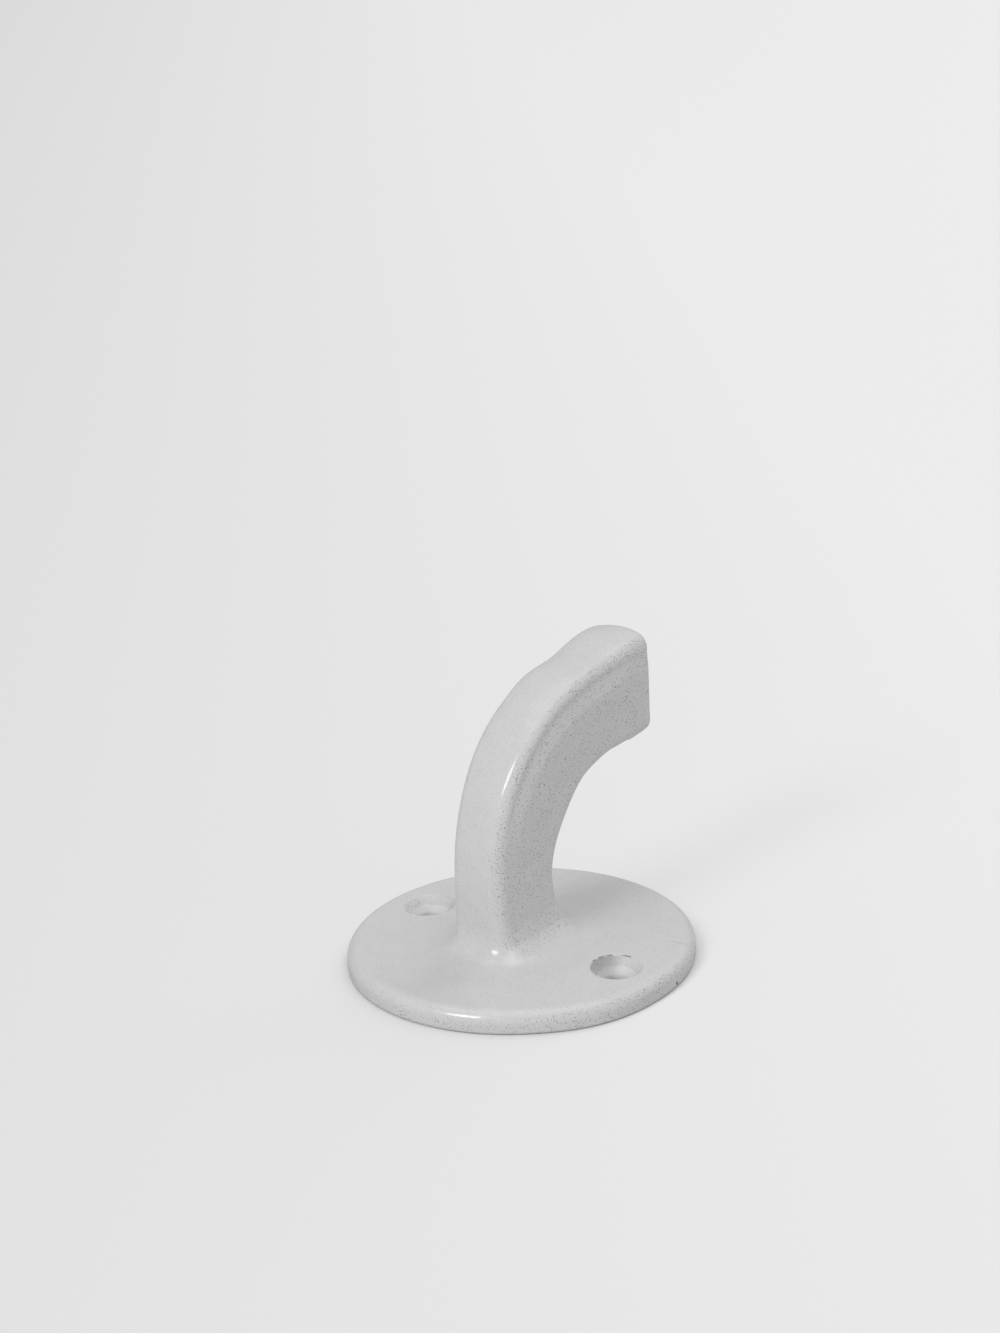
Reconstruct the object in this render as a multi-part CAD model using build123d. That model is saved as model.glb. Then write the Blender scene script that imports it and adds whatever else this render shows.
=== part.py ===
from build123d import *
from dataclasses import dataclass
import os

# Towel hook: a round wall plate and a curved arm, cast as one piece.
# Millimetres. The origin is the centre of the plate's back face. +Z points away
# from the wall and +Y is up on the wall, the way the arm turns. The hook is
# symmetric about X = 0, and its two screw holes lie on the X axis.

# Wall plate. Its front edge is rounded, above a short straight rim.
plate_radius = 30.0
plate_thickness = 3.9
plate_rim_height = 1.8

# Countersunk screw holes, one each side of the arm
screw_rim_margin = 8.7  # from a hole's axis to the plate's rim
screw_hole_radius = 2.1
countersink_flare = 2.4  # how far the 90-degree cone widens, which is also its depth

# Arm's centreline: a straight shank, then three tangent bends that turn it
# through a right angle, so that the tip faces up the wall
shank_drop = 3.75  # from the plate's centre down to the shank's centreline
shank_length = 16.0
shoulder_radius = 28.0
shoulder_angle = 36.5
elbow_radius = 18.8
elbow_angle = 35.5
nose_radius = 60.0
nose_angle = 18.0

# Arm's section. The stations below shape it as shares of these two sizes.
arm_width = 13.0  # across the hook at the arm's widest, the tip
arm_depth = 17.0  # from the outer side to the inner side, past the elbow
arm_crown = 1.1  # rise of the outer side's middle over its edges, at the tip

# Soft edges where the arm meets the plate and round its tip
foot_fillet_radius = 3.0
tip_fillet_radius = 1.1
tip_corner_margin = 1.9  # how much the outer corners' radius at the tip exceeds its fillet


@dataclass
class Station:
    """The arm's section at one place along its centreline."""

    along: float  # share of the centreline's length
    width: float  # share of arm_width
    outer: float  # reach of the outer side's edges, share of arm_depth
    inner: float  # reach of the inner side, share of arm_depth
    outer_corner: float  # radius of the two corners beside the outer side
    inner_corner: float  # radius of the two corners beside the inner side


tip_corner_radius = tip_fillet_radius + tip_corner_margin

STATIONS = (
    Station(0.00, 0.970, 0.394, 0.600, 2.4, 2.0),  # foot, spread on the inner side
    Station(0.12, 0.915, 0.421, 0.512, 2.5, 2.2),
    Station(0.24, 0.862, 0.444, 0.465, 2.9, 2.6),  # waist of the shank, its corners full
    Station(0.36, 0.862, 0.462, 0.518, 3.0, 2.8),
    Station(0.48, 0.892, 0.468, 0.560, 2.2, 2.8),
    Station(0.58, 0.904, 0.471, 0.562, 1.9, 2.7),  # elbow, deepest
    Station(0.68, 0.904, 0.476, 0.541, 1.8, 2.6),
    Station(0.78, 0.915, 0.482, 0.521, 2.0, 2.6),
    Station(0.89, 0.955, 0.488, 0.520, 2.4, 2.5),
    Station(1.00, 1.000, 0.490, 0.465, tip_corner_radius, 2.5),  # tip, widest
)


def make_plate():
    disc = extrude(Circle(plate_radius), plate_thickness)
    front_edge = disc.edges().group_by(Axis.Z)[-1]
    return fillet(front_edge, plate_thickness - plate_rim_height)


def centreline():
    shank = Line((-shank_drop, 0), (-shank_drop, shank_length))
    shoulder = JernArc(shank @ 1, shank % 1, shoulder_radius, -shoulder_angle)
    elbow = JernArc(shoulder @ 1, shoulder % 1, elbow_radius, -elbow_angle)
    nose = JernArc(elbow @ 1, elbow % 1, nose_radius, -nose_angle)
    return Plane.YZ * Wire([shank, shoulder, elbow, nose])


def arm_section(path, station):
    """An oblong with four rounded corners. Its outer side is crowned, more
    strongly towards the tip."""
    side = arm_width * station.width / 2
    outer = arm_depth * station.outer
    inner = -arm_depth * station.inner
    crown_top = outer + arm_crown * (0.2 + 0.8 * station.along)
    crown = ThreePointArc((side, outer), (0, crown_top), (-side, outer))
    walls = Polyline((-side, outer), (-side, inner), (side, inner), (side, outer))
    oblong = make_face(crown + walls)
    oblong = fillet(oblong.vertices().group_by(Axis.Y)[0], station.inner_corner)
    oblong = fillet(oblong.vertices().group_by(Axis.Y)[-1], station.outer_corner)
    across_path = Plane(
        origin=path @ station.along,
        x_dir=(-1, 0, 0),
        z_dir=path % station.along,
    )
    return across_path * oblong


def make_arm():
    path = centreline()
    arm = loft([arm_section(path, station) for station in STATIONS])
    tip = arm.faces().sort_by_distance(path @ 1)[0]
    return fillet(tip.edges(), tip_fillet_radius)


def join_at_foot(plate, arm):
    """One casting, with a fillet where the arm rises from the plate."""
    casting = plate + arm
    level = (plate_thickness - 0.01, plate_thickness + 0.01)
    front = casting.edges().filter_by_position(Axis.Z, *level)
    foot = front.filter_by(GeomType.CIRCLE, reverse=True)
    return fillet(foot, foot_fillet_radius)


def screw_hole(x):
    bore = extrude(Pos(x, 0) * Circle(screw_hole_radius), plate_thickness)
    cone = Cone(
        screw_hole_radius,
        screw_hole_radius + countersink_flare,
        countersink_flare,
    )
    return bore + Pos(x, 0, plate_thickness - countersink_flare / 2) * cone


def make_hook():
    hook = join_at_foot(make_plate(), make_arm())
    screw_x = plate_radius - screw_rim_margin
    return hook - screw_hole(-screw_x) - screw_hole(screw_x)


if __name__ == "__main__":
    os.makedirs("parts", exist_ok=True)
    export_step(make_hook(), "parts/towel_hook.step")
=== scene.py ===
import bpy
import math
import numpy as np
from dataclasses import dataclass
from mathutils import Matrix, Vector


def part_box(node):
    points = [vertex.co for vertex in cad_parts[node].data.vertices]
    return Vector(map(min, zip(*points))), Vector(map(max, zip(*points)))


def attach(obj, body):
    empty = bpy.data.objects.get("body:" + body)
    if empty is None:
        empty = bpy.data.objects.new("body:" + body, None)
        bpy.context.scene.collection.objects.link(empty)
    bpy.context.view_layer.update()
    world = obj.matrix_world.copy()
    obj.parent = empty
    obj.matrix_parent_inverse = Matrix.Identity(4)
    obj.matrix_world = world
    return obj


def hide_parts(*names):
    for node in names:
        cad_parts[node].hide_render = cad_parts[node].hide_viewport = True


# Towel hook, cast in one piece and coated in a speckled pale grey gloss enamel.
# It stands on its back plate on a plain pale floor. Metres, in the CAD's frame.

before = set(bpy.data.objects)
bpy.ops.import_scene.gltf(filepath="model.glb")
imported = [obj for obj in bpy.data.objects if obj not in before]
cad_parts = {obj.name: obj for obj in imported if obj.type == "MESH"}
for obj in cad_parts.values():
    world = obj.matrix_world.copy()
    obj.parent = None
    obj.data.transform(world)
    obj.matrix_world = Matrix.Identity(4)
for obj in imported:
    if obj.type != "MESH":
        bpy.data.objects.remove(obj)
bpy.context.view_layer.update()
HOOK_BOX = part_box("towel_hook")
MM = 0.001
PLATE_RADIUS = HOOK_BOX[1][0]
PLATE_TOP = 3.9 * MM

# Camera
CAMERA_PLACE = (0.38860, -0.42686, 0.27621)
CAMERA_FORWARD = (-0.62961, 0.68865, -0.35967)
CAMERA_UP = (-0.20469, 0.29956, 0.93186)
CAMERA_LENS = 133.2
SENSOR_WIDTH = 36.0

# Light: an even sky, and round softboxes that all point at the hook
SKY_LEVEL = 0.44


@dataclass
class Softbox:
    """A round lamp. Azimuth 0 is on the -Y side, and 90 on the +X side."""

    name: str
    azimuth: float  # degrees
    elevation: float  # degrees above the floor
    distance: float
    diameter: float
    watts: float
    shows: bool  # in the gloss


SOFTBOXES = (
    Softbox("key", -0.6, 38.0, 1.2, 0.42, 4.8, True),
    Softbox("overhead", 0.0, 89.9, 1.5, 1.6, 4.9, True),
    Softbox("behind", 180.0, 35.0, 1.5, 1.2, 8.0, False),
    Softbox("side", 90.0, 30.0, 1.5, 1.2, 0.7, False),
    Softbox("low", 38.0, 3.0, 1.5, 1.2, 7.8, False),
)

# Floor: paper, and the even backdrop tone that the camera sees mixed into it
FLOOR_HALF = 3.0
FLOOR_TONE = 0.80
FLOOR_BOUNCE = 0.55  # its tone for the light that it throws back on the hook
FLOOR_ROUGHNESS = 0.9
BACKDROP_SHARE = 0.6
BACKDROP_SLANT = 0.81  # how strongly its tone follows X, next to Y
BACKDROP_REACH = 0.16  # from the plate's axis to where the tone stops changing
BACKDROP_DIM = 0.685
BACKDROP_BRIGHT = 0.862
# The plate's shadow hides the backdrop's tone, fully and partly, up to here from its axis
CONTACT_EDGE = (PLATE_RADIUS + 0.3 * MM, PLATE_RADIUS + 2.8 * MM)

# The arm's centreline, as the CAD bends it: a shank along Z, then three bends towards +Y
SHANK_Y = -3.75 * MM
SHANK_LENGTH = 16.0 * MM
BENDS = ((28.0 * MM, 36.5), (18.8 * MM, 35.5), (60.0 * MM, 18.0))  # radius and degrees

# The cast surface: the CAD's, remeshed finely and softened
GRAIN_SIZE = 0.34 * MM  # spacing of its points
SOFTENING = 0.5
SOFTENING_ROUNDS = 2


def bump(middle, reach):
    """A span that is full at its middle only."""
    return (middle - reach, middle, middle, middle + reach)


# Next come the forms that the CAD's solid lacks. An edge is where a form starts and where it
# is full. A span adds where it starts to fade and where it has gone.

# On the arm's sides: distances inward from a side's outer edge, and along the centreline
SIDE_EDGE = 6.2 * MM  # from the centreline out to the end of a side's rounded outer corner
SIDE_TAPER = 0.25 * MM
SIDE_TAPER_EDGE = (0.4 * MM, 3.2 * MM)
SIDE_BEAD = 0.30 * MM
SIDE_BEAD_FADE = (3.4 * MM, 12.0 * MM)
GROOVE_DEPTH = 0.12 * MM
GROOVE_SPAN = bump(0.3 * MM, 0.9 * MM)
SIDE_START = (20.0 * MM, 30.0 * MM)
SIDE_FADE = (54.0 * MM, 63.0 * MM)
SIDE_FADE_SHARE = 0.75
SIDE_FLAT = (3.0 * MM, 5.0 * MM)  # from the middle across to the sides

# On the arm's outer side, -X half: distances along the centreline
KNUCKLE_RISE = 0.25 * MM
KNUCKLE_SPAN = bump(46.0 * MM, 4.0 * MM)
WAIST_DROP = 0.35 * MM
WAIST_SPAN = bump(52.5 * MM, 4.5 * MM)
TIP_DROP = 0.55 * MM
TIP_EDGE = (58.0 * MM, 64.0 * MM)
OUTER_EDGE = (2.0 * MM, 7.0 * MM)  # from the centreline out
OUTER_HALF = (-3.0 * MM, 5.0 * MM)  # from the +X half to the -X half

# On the arm's inner side: distances along the centreline
NOSE_FILL = 0.28 * MM
NOSE_SPAN = bump(55.6 * MM, 3.8 * MM)
HEEL_FILL = 0.5 * MM
HEEL_SPAN = bump(64.0 * MM, 4.0 * MM)
INNER_EDGE = (3.0 * MM, 7.0 * MM)  # from the centreline in

# Plate and foot
DOME_RISE = 0.5 * MM
DOME_EDGE = (9.0 * MM, PLATE_RADIUS - 1.0 * MM)  # from the plate's axis
FOOT_RISE = 1.35 * MM
FOOT_HALF = (6.3 * MM, 8.5 * MM)  # half the foot's width and depth
FOOT_MIDDLE = -1.0 * MM
FOOT_REACH = 1.1  # how far the rise spreads, in halves of the foot
RISE_SPAN = (0.3 * MM, PLATE_TOP, PLATE_TOP, 2.6 * PLATE_TOP)  # heights that rise with it
FOOT_FLARE = 1.3 * MM
FLARE_FADE = (4.5 * MM, 11.0 * MM)  # heights
FLARE_SPAN_X = (1.0 * MM, 6.0 * MM, 7.0 * MM, 14.0 * MM)
FLARE_SPAN_Y = (-13.0 * MM, -6.0 * MM, 8.0 * MM, 14.0 * MM)
BACK_EDGE = 0.35 * MM
BACK_EDGE_BAND = (PLATE_RADIUS - 1.0 * MM, PLATE_RADIUS - 0.2 * MM)
RIM_SWELL = 0.5 * MM
RIM_SWELL_SPAN = bump(-22.0, 30.0)  # degrees round the plate, from +X
RIM_SWELL_BAND = (PLATE_RADIUS - 4.0 * MM, PLATE_RADIUS)

# Enamel: grey tones, and where it is flawed
ENAMEL_TONE = 0.60
ENAMEL_CLOUD = (0.98, 1.01)  # shares of the tone that its clouds lie between
CLOUD_SCALE = 350.0
GRAIN_SCALE = 3500.0
NOISE_RANGE = (0.3, 0.7)  # where most of a noise's values lie
GLOSS_ROUGHNESS = 0.17
RIPPLE_HEIGHT = 0.02 * MM
RIPPLE_SCALE = 160.0

# Specks: their spacing, their radius, and the share of the places that hold one
FINE_SPECKS = (0.36 * MM, 0.09 * MM, 0.85)
COARSE_SPECKS = (1.2 * MM, 0.13 * MM, 0.6)
# The specks' dark tone, also used for painted shade in the screw holes
SPECK_AND_SHADE_TONE = 0.07
SPECK_STRENGTH = 0.95
SPECK_BLUR = 0.3  # share of the radius
SPECK_FAINTEST = 0.3
SPECKS_ELSEWHERE = 0.32  # beside the arm's sides, which have them all
SPECKS_ON_RIM = 0.6
SIDE_FACING = (0.4, 0.8)
RIM_TOP = (1.8 * MM, 3.4 * MM)

# Screw holes: a pale patch in each cone's lower half is painted light that brightens its
# shaded hollow. Painted shade darkens the cones' walls on the side of the arm, and a broken
# line of painted shade runs along their edges there. The +X hole shows more of both shades.
HOLE_PLACE = PLATE_RADIUS - 8.7 * MM  # along X, each side of the arm
CONE_RADIUS = 4.5 * MM
LIT_PATCH_RADIUS = 3.1 * MM
LIT_PATCH_BLUR = 0.12 * MM
LIT_PATCH_WANDER = 0.8 * MM
LIT_PATCH_SCALE = 900.0
LIT_PATCH_TONE = 0.66
LIT_PATCH_ROUGHNESS = 0.5
EDGE_SHADE_BAND = (0.08 * MM, 0.20 * MM)
EDGE_SHADE_SCALE = 420.0
EDGE_SHADE_RANGE = (0.42, 0.56)
EDGE_SHADE_STRENGTH = 0.75
EDGE_SHADE_SIDE = (-1.0 * MM, 2.5 * MM)  # from a hole's axis, away from the arm
EDGE_SHADE_FAR_SHARE = 0.1
CONE_SHADE_STRENGTH = 0.45
CONE_SHADE_SIDE = (-4.2 * MM, -0.8 * MM)
CONE_SHADE_TOP = 4.3 * MM
HOLE_SHADE_EDGE = (0.0, 20.0 * MM)  # from the -X hole to the +X hole
HOLE_SHADE_LEFT_SHARE = 0.2

# A pale patch at the foot, painted light that the arm's glossy face reflects onto it, and a pit and
# a hairline crack at the rim
FOOT_LIGHT_PLACE = (7.2 * MM, -10.3 * MM, 5.6 * MM)
FOOT_LIGHT_RADIUS = 2.2 * MM
FOOT_LIGHT_WANDER = 3.0  # times that of the cones' pale patches
FOOT_LIGHT_TONE = 0.68
PIT_PLACE = (29.34 * MM, 6.2 * MM, 0.85 * MM)
PIT_RADIUS = 0.38 * MM
PIT_CORE = 0.6  # share of its radius that is fully dark
CRACK_PLACE = (23.8 * MM, 13.7 * MM)
CRACK_TURN = math.radians(20.0)
CRACK_HALF = 1.5 * MM
CRACK_WIDTH = 0.07 * MM
CRACK_STRENGTH = 0.45
CRACK_BASE = 2.5 * MM  # it starts this high on the rim


def make_camera():
    """The camera, placed by where it stands and which way it looks."""
    data = bpy.data.cameras.new("camera")
    data.lens = CAMERA_LENS
    data.sensor_width = SENSOR_WIDTH
    data.sensor_fit = "HORIZONTAL"
    data.clip_start = 0.01
    camera = bpy.data.objects.new("camera", data)
    back = -Vector(CAMERA_FORWARD).normalized()
    up = Vector(CAMERA_UP)
    right = up.cross(back).normalized()
    up = back.cross(right)
    turn = Matrix((right, up, back)).transposed()
    camera.matrix_world = Matrix.Translation(CAMERA_PLACE) @ turn.to_4x4()
    bpy.context.scene.collection.objects.link(camera)
    bpy.context.scene.camera = camera


def make_sky():
    world = bpy.data.worlds.new("sky")
    world.use_nodes = True
    background = world.node_tree.nodes["Background"]
    background.inputs["Color"].default_value = (1.0, 1.0, 1.0, 1.0)
    background.inputs["Strength"].default_value = SKY_LEVEL
    bpy.context.scene.world = world


def make_softbox(softbox):
    azimuth = math.radians(softbox.azimuth)
    elevation = math.radians(softbox.elevation)
    towards = Vector((
        math.sin(azimuth) * math.cos(elevation),
        -math.cos(azimuth) * math.cos(elevation),
        math.sin(elevation),
    ))
    data = bpy.data.lights.new(softbox.name, "AREA")
    data.shape = "DISK"
    data.size = softbox.diameter
    data.energy = softbox.watts
    lamp = bpy.data.objects.new(softbox.name, data)
    lamp.visible_glossy = softbox.shows
    lamp.location = towards * softbox.distance
    lamp.rotation_euler = towards.to_track_quat("Z", "Y").to_euler()
    bpy.context.scene.collection.objects.link(lamp)


def grey(level):
    return (level, level, level, 1.0)


class Nodes:
    """Short calls for building a material's nodes."""

    def __init__(self, material):
        material.use_nodes = True
        self.tree = material.node_tree
        self.shader = self.tree.nodes["Principled BSDF"]

    def new(self, kind, **settings):
        node = self.tree.nodes.new(kind)
        for name, value in settings.items():
            setattr(node, name, value)
        return node

    def link(self, source, target):
        self.tree.links.new(source, target)

    def place(self):
        """The shaded point's place, whole and as its three parts."""
        place = self.new("ShaderNodeTexCoord").outputs["Object"]
        parts = self.new("ShaderNodeSeparateXYZ")
        self.link(place, parts.inputs[0])
        return place, parts.outputs

    def math(self, operation, first, second=None, clamp=False):
        node = self.new("ShaderNodeMath", operation=operation, use_clamp=clamp)
        for socket, value in zip(node.inputs, (first, second)):
            if value is None:
                continue
            if isinstance(value, (int, float)):
                socket.default_value = value
            else:
                self.link(value, socket)
        return node.outputs[0]

    def product(self, *factors):
        total = factors[0]
        for factor in factors[1:]:
            total = self.math("MULTIPLY", total, factor)
        return total

    def ramp(self, value, low, high, from_value=0.0, to_value=1.0, kind="SMOOTHSTEP"):
        """value mapped from low..high to from_value..to_value."""
        node = self.new("ShaderNodeMapRange", interpolation_type=kind)
        self.link(value, node.inputs["Value"])
        node.inputs["From Min"].default_value = low
        node.inputs["From Max"].default_value = high
        node.inputs["To Min"].default_value = from_value
        node.inputs["To Max"].default_value = to_value
        return node.outputs["Result"]

    def length(self, first, second):
        """The length of a flat vector from its two parts."""
        squares = self.math("ADD", self.math("POWER", first, 2.0), self.math("POWER", second, 2.0))
        return self.math("SQRT", squares)

    def distance(self, place, point):
        """How far a place lies from a fixed point."""
        node = self.new("ShaderNodeVectorMath", operation="DISTANCE")
        self.link(place, node.inputs[0])
        node.inputs[1].default_value = point
        return node.outputs["Value"]

    def noise(self, place, scale, detail=2.0):
        node = self.new("ShaderNodeTexNoise")
        self.link(place, node.inputs["Vector"])
        node.inputs["Scale"].default_value = scale
        node.inputs["Detail"].default_value = detail
        return node.outputs["Fac"]

    def specks(self, place, spacing, radius, share):
        """1 inside small specks: one a cell of that spacing, in that share of the cells."""
        node = self.new("ShaderNodeTexVoronoi")
        self.link(place, node.inputs["Vector"])
        node.inputs["Scale"].default_value = 1.0 / spacing
        reach = radius / spacing
        edge = ((1.0 - SPECK_BLUR) * reach, (1.0 + SPECK_BLUR) * reach)
        inside = self.ramp(node.outputs["Distance"], *edge, 1.0, 0.0)
        chance = self.new("ShaderNodeSeparateColor")
        self.link(node.outputs["Color"], chance.inputs[0])
        chosen = self.math("LESS_THAN", chance.outputs[0], share)
        strength = self.ramp(chance.outputs[1], 0.0, 1.0, SPECK_FAINTEST, 1.0)
        return self.product(inside, chosen, strength)

    def mix(self, share, first, second):
        """A colour between two, each a grey level or a socket."""
        node = self.new("ShaderNodeMix", data_type="RGBA")
        self.link(share, node.inputs[0])
        for socket, value in ((node.inputs[6], first), (node.inputs[7], second)):
            if isinstance(value, float):
                socket.default_value = grey(value)
            else:
                self.link(value, socket)
        return node.outputs[2]


def make_backdrop(nodes, axes):
    """An even glow whose tone changes slowly across the floor."""
    across = nodes.math("ADD", nodes.math("MULTIPLY", axes["X"], BACKDROP_SLANT), axes["Y"])
    tones = (BACKDROP_DIM, BACKDROP_BRIGHT)
    tone = nodes.ramp(across, -BACKDROP_REACH, BACKDROP_REACH, *tones, kind="LINEAR")
    backdrop = nodes.new("ShaderNodeEmission")
    nodes.link(tone, backdrop.inputs["Color"])
    return backdrop


def make_floor_paper():
    """Matt paper. The camera sees it partly as an even backdrop, so that shadows stay faint."""
    material = bpy.data.materials.new("floor_paper")
    nodes = Nodes(material)
    camera_ray = nodes.new("ShaderNodeLightPath").outputs["Is Camera Ray"]
    nodes.link(nodes.mix(camera_ray, FLOOR_BOUNCE, FLOOR_TONE), nodes.shader.inputs["Base Color"])
    nodes.shader.inputs["Roughness"].default_value = FLOOR_ROUGHNESS
    _, axes = nodes.place()
    clear = nodes.ramp(nodes.length(axes["X"], axes["Y"]), *CONTACT_EDGE)
    mix = nodes.new("ShaderNodeMixShader")
    nodes.link(nodes.product(camera_ray, BACKDROP_SHARE, clear), mix.inputs[0])
    nodes.link(nodes.shader.outputs[0], mix.inputs[1])
    nodes.link(make_backdrop(nodes, axes).outputs[0], mix.inputs[2])
    nodes.link(mix.outputs[0], nodes.tree.nodes["Material Output"].inputs["Surface"])
    return material


def make_floor():
    mesh = bpy.data.meshes.new("floor")
    half = FLOOR_HALF
    corners = [(-half, -half, 0.0), (half, -half, 0.0), (half, half, 0.0), (-half, half, 0.0)]
    mesh.from_pydata(corners, [], [(0, 1, 2, 3)])
    mesh.materials.append(make_floor_paper())
    floor = bpy.data.objects.new("floor", mesh)
    bpy.context.scene.collection.objects.link(floor)


def speck_share(nodes, axes):
    """Specks are densest on faces turned towards ±X, less dense on the plate's lower rim, and
    sparse elsewhere.
    """
    normal = nodes.new("ShaderNodeSeparateXYZ")
    nodes.link(nodes.new("ShaderNodeTexCoord").outputs["Normal"], normal.inputs[0])
    on_side = nodes.ramp(nodes.math("ABSOLUTE", normal.outputs["X"]), *SIDE_FACING)
    on_rim = nodes.ramp(axes["Z"], *RIM_TOP, SPECKS_ON_RIM, 0.0)
    return nodes.ramp(nodes.math("MAXIMUM", on_side, on_rim), 0.0, 1.0, SPECKS_ELSEWHERE, 1.0)


def speckled_coat(nodes, place, axes):
    """The enamel's colour: a faintly clouded grey with dark specks."""
    fine = nodes.specks(place, *FINE_SPECKS)
    coarse = nodes.specks(place, *COARSE_SPECKS)
    speckle = nodes.math("MAXIMUM", fine, coarse)
    speckle = nodes.product(speckle, speck_share(nodes, axes), SPECK_STRENGTH)
    cloud = nodes.ramp(nodes.noise(place, CLOUD_SCALE), *NOISE_RANGE)
    grain = nodes.ramp(nodes.noise(place, GRAIN_SCALE), *NOISE_RANGE, -0.5, 0.5)
    cloud = nodes.math("ADD", cloud, grain, clamp=True)
    coat = nodes.mix(cloud, *(ENAMEL_TONE * share for share in ENAMEL_CLOUD))
    return nodes.mix(speckle, coat, SPECK_AND_SHADE_TONE)


def lit_cone_patch(nodes, place, from_axis):
    """Painted light: 1 in the lower half of a screw hole's cone, up to a ragged line, and how far
    that wanders.
    """
    wander = nodes.math("SUBTRACT", nodes.noise(place, LIT_PATCH_SCALE), 0.5)
    wander = nodes.math("MULTIPLY", wander, LIT_PATCH_WANDER)
    ragged = nodes.math("ADD", from_axis, wander)
    return nodes.ramp(ragged, LIT_PATCH_RADIUS, LIT_PATCH_RADIUS + LIT_PATCH_BLUR, 1.0, 0.0), wander


def shaded_cone_wall(nodes, sideways, from_axis):
    """Painted shade: more than 0 in a screw hole's cone, on the side of the arm."""
    in_cone = nodes.ramp(from_axis, CONE_SHADE_TOP, CONE_RADIUS, 1.0, 0.0)
    return nodes.product(nodes.ramp(sideways, *CONE_SHADE_SIDE, CONE_SHADE_STRENGTH, 0.0), in_cone)


def shaded_edge_line(nodes, place, sideways, from_axis):
    """Painted shade: near 1 in a broken line along a screw hole's upper edge."""
    off_edge = nodes.math("ABSOLUTE", nodes.math("SUBTRACT", from_axis, CONE_RADIUS))
    on_edge = nodes.ramp(off_edge, *EDGE_SHADE_BAND, 1.0, 0.0)
    broken = nodes.ramp(nodes.noise(place, EDGE_SHADE_SCALE), *EDGE_SHADE_RANGE, 0.0, EDGE_SHADE_STRENGTH)
    return nodes.product(on_edge, broken, nodes.ramp(sideways, *EDGE_SHADE_SIDE, 1.0, EDGE_SHADE_FAR_SHARE))


# Painted light: a pale patch at the foot, reflected there from the arm's glossy face.
def painted_foot_light(nodes, place, wander):
    ragged = nodes.math("MULTIPLY", wander, FOOT_LIGHT_WANDER)
    away = nodes.math("ADD", nodes.distance(place, FOOT_LIGHT_PLACE), ragged)
    return nodes.ramp(away, 0.0, FOOT_LIGHT_RADIUS, 1.0, 0.0)


def pit(nodes, place):
    return nodes.ramp(nodes.distance(place, PIT_PLACE), PIT_CORE * PIT_RADIUS, PIT_RADIUS, 1.0, 0.0)


def crack(nodes, axes):
    """A short hairline across the plate's rounded edge."""
    x = nodes.math("SUBTRACT", axes["X"], CRACK_PLACE[0])
    y = nodes.math("SUBTRACT", axes["Y"], CRACK_PLACE[1])
    cosine = math.cos(CRACK_TURN)
    sine = math.sin(CRACK_TURN)
    along = nodes.math("ADD", nodes.math("MULTIPLY", x, cosine), nodes.math("MULTIPLY", y, sine))
    off = nodes.math("SUBTRACT", nodes.math("MULTIPLY", y, cosine), nodes.math("MULTIPLY", x, sine))
    edge = (0.5 * CRACK_WIDTH, 1.5 * CRACK_WIDTH)
    return nodes.product(
        nodes.ramp(nodes.math("ABSOLUTE", off), *edge, CRACK_STRENGTH, 0.0),
        nodes.math("LESS_THAN", nodes.math("ABSOLUTE", along), CRACK_HALF),
        nodes.math("GREATER_THAN", axes["Z"], CRACK_BASE),
    )


def make_enamel():
    material = bpy.data.materials.new("speckled_enamel")
    nodes = Nodes(material)
    place, axes = nodes.place()
    sideways = nodes.math("SUBTRACT", nodes.math("ABSOLUTE", axes["X"]), HOLE_PLACE)
    from_axis = nodes.length(sideways, axes["Y"])
    lit_patch, wander = lit_cone_patch(nodes, place, from_axis)
    # How strongly each hole takes its painted shade, most at the +X hole.
    hole_shade_share = nodes.ramp(axes["X"], *HOLE_SHADE_EDGE, HOLE_SHADE_LEFT_SHARE, 1.0)
    cone_shade = nodes.product(shaded_cone_wall(nodes, sideways, from_axis), hole_shade_share)
    edge_shade = nodes.product(shaded_edge_line(nodes, place, sideways, from_axis), hole_shade_share)
    flaws_and_shade = nodes.math("MAXIMUM", pit(nodes, place), crack(nodes, axes))
    flaws_and_shade = nodes.math("MAXIMUM", edge_shade, flaws_and_shade)

    coat = speckled_coat(nodes, place, axes)
    # Painted light: pale patches in the screw holes' cones.
    coat = nodes.mix(lit_patch, coat, LIT_PATCH_TONE)
    # Painted shade on the cones' walls on the side of the arm.
    coat = nodes.mix(cone_shade, coat, SPECK_AND_SHADE_TONE)
    # Painted light at the foot.
    coat = nodes.mix(painted_foot_light(nodes, place, wander), coat, FOOT_LIGHT_TONE)
    # The dark pit and crack, and painted shade along the cones' edges.
    coat = nodes.mix(flaws_and_shade, coat, SPECK_AND_SHADE_TONE)
    roughness = nodes.ramp(lit_patch, 0.0, 1.0, GLOSS_ROUGHNESS, LIT_PATCH_ROUGHNESS)
    ripple = nodes.new("ShaderNodeBump")
    ripple.inputs["Distance"].default_value = RIPPLE_HEIGHT
    nodes.link(nodes.noise(place, RIPPLE_SCALE, 1.0), ripple.inputs["Height"])
    nodes.link(coat, nodes.shader.inputs["Base Color"])
    nodes.link(roughness, nodes.shader.inputs["Roughness"])
    nodes.link(ripple.outputs["Normal"], nodes.shader.inputs["Normal"])
    return material


def rise(value, low, high):
    """0 below low and 1 above high, with a smooth step between them."""
    share = np.clip((value - low) / (high - low), 0.0, 1.0)
    return share * share * (3.0 - 2.0 * share)


def within(value, start, full, fading, gone):
    """1 from full to fading, and 0 before start and after gone."""
    return rise(value, start, full) - rise(value, fading, gone)


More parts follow.
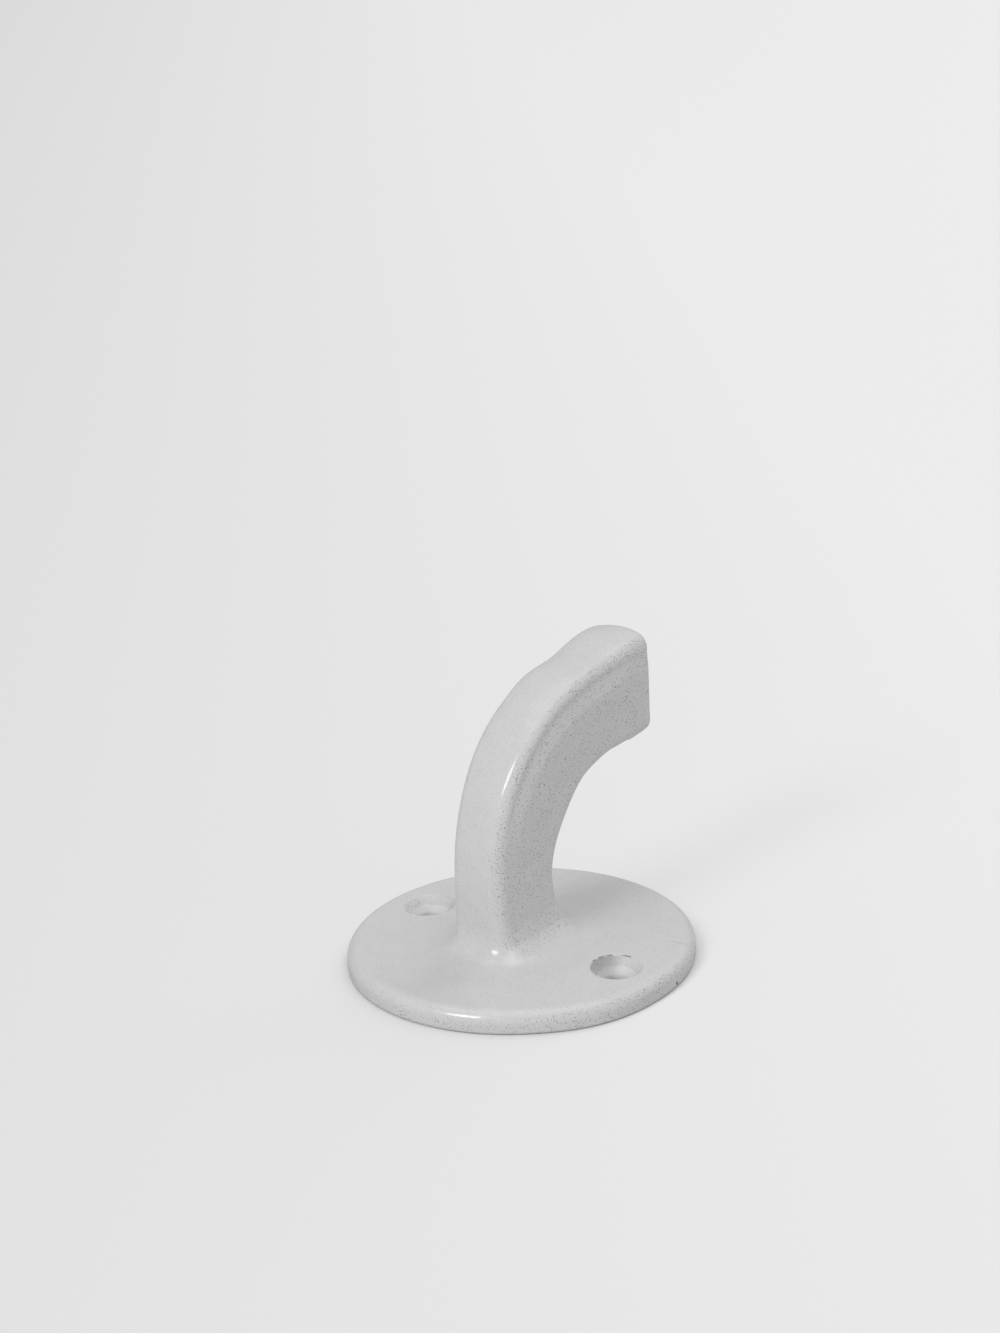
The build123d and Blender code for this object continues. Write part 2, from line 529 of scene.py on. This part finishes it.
def along_arm(y, z):
    """How far points lie along the arm's centreline, how far on its outer side, and the
    angle that it has turned there."""
    along = z.copy()
    outward = SHANK_Y - y
    angle = np.zeros_like(z)
    start = np.array((SHANK_Y, SHANK_LENGTH))
    heading = 0.0
    passed = SHANK_LENGTH
    for radius, degrees in BENDS:
        centre = start + radius * np.array((math.cos(heading), -math.sin(heading)))
        turned = np.arctan2(z - centre[1], centre[0] - y)
        on_bend = (turned > heading) & (along >= passed)
        along = np.where(on_bend, passed + radius * (turned - heading), along)
        outward = np.where(on_bend, np.hypot(y - centre[0], z - centre[1]) - radius, outward)
        angle = np.where(on_bend, turned, angle)
        passed += radius * math.radians(degrees)
        heading += math.radians(degrees)
        start = centre - radius * np.array((math.cos(heading), -math.sin(heading)))
    return along, outward, angle


def work_sides(place, along, outward):
    """The arm's sides draw in from a bead to a groove along their outer edge."""
    x = place[:, 0]
    inward = SIDE_EDGE - outward
    tapered = rise(inward, *SIDE_TAPER_EDGE)
    depth = SIDE_TAPER * (1.0 - tapered) + GROOVE_DEPTH * within(inward, *GROOVE_SPAN)
    depth -= SIDE_BEAD * (tapered - rise(inward, *SIDE_BEAD_FADE))
    depth *= rise(along, *SIDE_START) - SIDE_FADE_SHARE * rise(along, *SIDE_FADE)
    place[:, 0] -= np.sign(x) * depth * rise(np.abs(x), *SIDE_FLAT)


def work_faces(place, along, outward, angle):
    """The -X half of the arm's outer side has a knuckle, a waist and a softer corner at the
    tip. Its inner side is fuller behind the tip and at the tip's lower edge."""
    lift = KNUCKLE_RISE * within(along, *KNUCKLE_SPAN) - WAIST_DROP * within(along, *WAIST_SPAN)
    lift -= TIP_DROP * rise(along, *TIP_EDGE)
    lift *= rise(outward, *OUTER_EDGE) * rise(-place[:, 0], *OUTER_HALF)
    fill = NOSE_FILL * within(along, *NOSE_SPAN) + HEEL_FILL * within(along, *HEEL_SPAN)
    lift -= fill * rise(-outward, *INNER_EDGE)
    place[:, 1] -= lift * np.cos(angle)
    place[:, 2] += lift * np.sin(angle)


def work_arm(place):
    along, outward, angle = along_arm(place[:, 1], place[:, 2])
    work_faces(place, along, outward, angle)
    work_sides(place, along, outward)


def work_plate(place):
    """The plate's top swells towards the arm, and rises further round its foot."""
    x, y, z = place.T
    dome = DOME_RISE * (1.0 - rise(np.hypot(x, y), *DOME_EDGE))
    from_foot = np.hypot(x / FOOT_HALF[0], (y - FOOT_MIDDLE) / FOOT_HALF[1]) - 1.0
    foot = FOOT_RISE * (1.0 - rise(from_foot, 0.0, FOOT_REACH))
    place[:, 2] += (dome + foot) * within(z, *RISE_SPAN)


def work_foot(place):
    """The arm's foot flares on the +X side."""
    x, y, z = place.T
    low = 1.0 - rise(z, *FLARE_FADE)
    place[:, 0] += FOOT_FLARE * low * within(x, *FLARE_SPAN_X) * within(y, *FLARE_SPAN_Y)


def move_outward(place, outward, band):
    """Moves points away from the plate's axis, from nothing to fully across a band round it."""
    from_axis = np.maximum(np.hypot(place[:, 0], place[:, 1]), MM)
    place[:, :2] *= (1.0 + outward * rise(from_axis, *band) / from_axis)[:, None]


def work_back_edge(place):
    """The plate's back edge is rounded."""
    below = np.clip(BACK_EDGE - place[:, 2], 0.0, BACK_EDGE)
    inset = BACK_EDGE - np.sqrt(BACK_EDGE**2 - below**2)
    move_outward(place, -inset, BACK_EDGE_BAND)


def work_rim(place):
    """The plate's rim swells a little on the +X side."""
    azimuth = np.degrees(np.arctan2(place[:, 1], place[:, 0]))
    move_outward(place, RIM_SWELL * within(azimuth, *RIM_SWELL_SPAN), RIM_SWELL_BAND)


def remeshed(node):
    """A copy of a CAD node's mesh with evenly spaced points, softened a little."""
    rough = bpy.data.objects.new("rough_casting", node.data.copy())
    bpy.context.scene.collection.objects.link(rough)
    even = rough.modifiers.new("even", "REMESH")
    even.mode = "VOXEL"
    even.voxel_size = GRAIN_SIZE
    even.use_smooth_shade = True
    fit = rough.modifiers.new("fit", "SHRINKWRAP")
    fit.target = node
    soften = rough.modifiers.new("soften", "SMOOTH")
    soften.factor = SOFTENING
    soften.iterations = SOFTENING_ROUNDS
    shaped = rough.evaluated_get(bpy.context.evaluated_depsgraph_get())
    mesh = bpy.data.meshes.new_from_object(shaped)
    bpy.data.objects.remove(rough)
    return mesh


def make_casting():
    """The hook's surface as cast and coated: the CAD's solid, remeshed evenly and worked."""
    mesh = remeshed(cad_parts["towel_hook"])
    place = np.empty(3 * len(mesh.vertices))
    mesh.vertices.foreach_get("co", place)
    place = place.reshape(-1, 3)
    for work in (work_plate, work_foot, work_back_edge, work_rim, work_arm):
        work(place)
    lowest, highest = (np.array(corner) for corner in HOOK_BOX)
    mesh.vertices.foreach_set("co", np.clip(place, lowest, highest).ravel())
    mesh.update()
    mesh.materials.clear()
    mesh.materials.append(make_enamel())
    casting = bpy.data.objects.new("hook_casting", mesh)
    bpy.context.scene.collection.objects.link(casting)
    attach(casting, "root")
    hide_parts("towel_hook")


bpy.context.scene.view_settings.view_transform = "Standard"
make_camera()
make_sky()
for softbox in SOFTBOXES:
    make_softbox(softbox)
make_floor()
make_casting()
